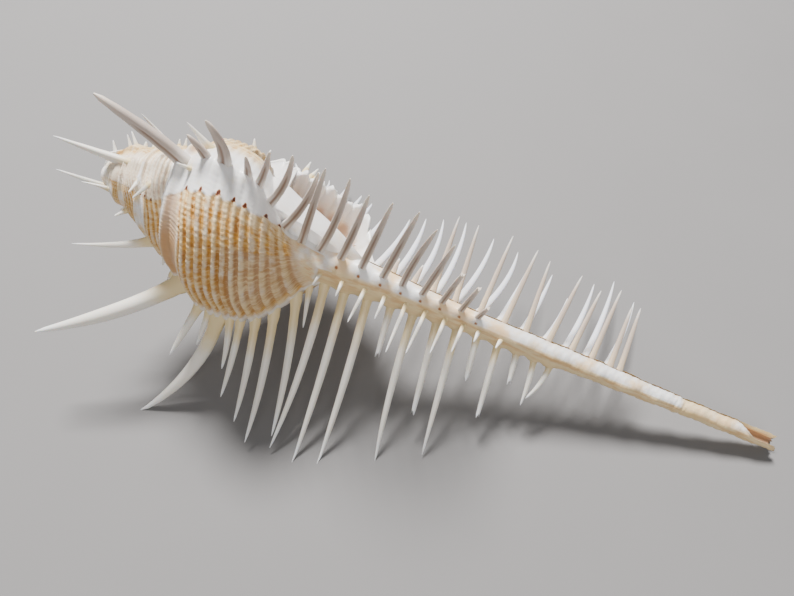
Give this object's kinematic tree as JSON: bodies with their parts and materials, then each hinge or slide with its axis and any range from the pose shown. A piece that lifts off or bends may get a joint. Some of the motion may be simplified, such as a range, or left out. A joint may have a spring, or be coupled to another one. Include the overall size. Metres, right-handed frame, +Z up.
{
  "type": "venus comb murex shell",
  "caption": "Sea snail shell with a round ribbed body, a low spire, a long straight canal and rows of long thin spines like a comb.",
  "frame": {"origin": "middle of the base, on the surface that the shell rests on", "axes": "+X along the shell from the spire to the open end of the canal, +Z up, -Y towards the front row of spines"},
  "size_m": [0.1334, 0.0714, 0.0519],
  "materials": {
    "shell": "satin"
  },
  "bodies": {
    "root": {"shell": "shell"}
  },
  "joints": []
}
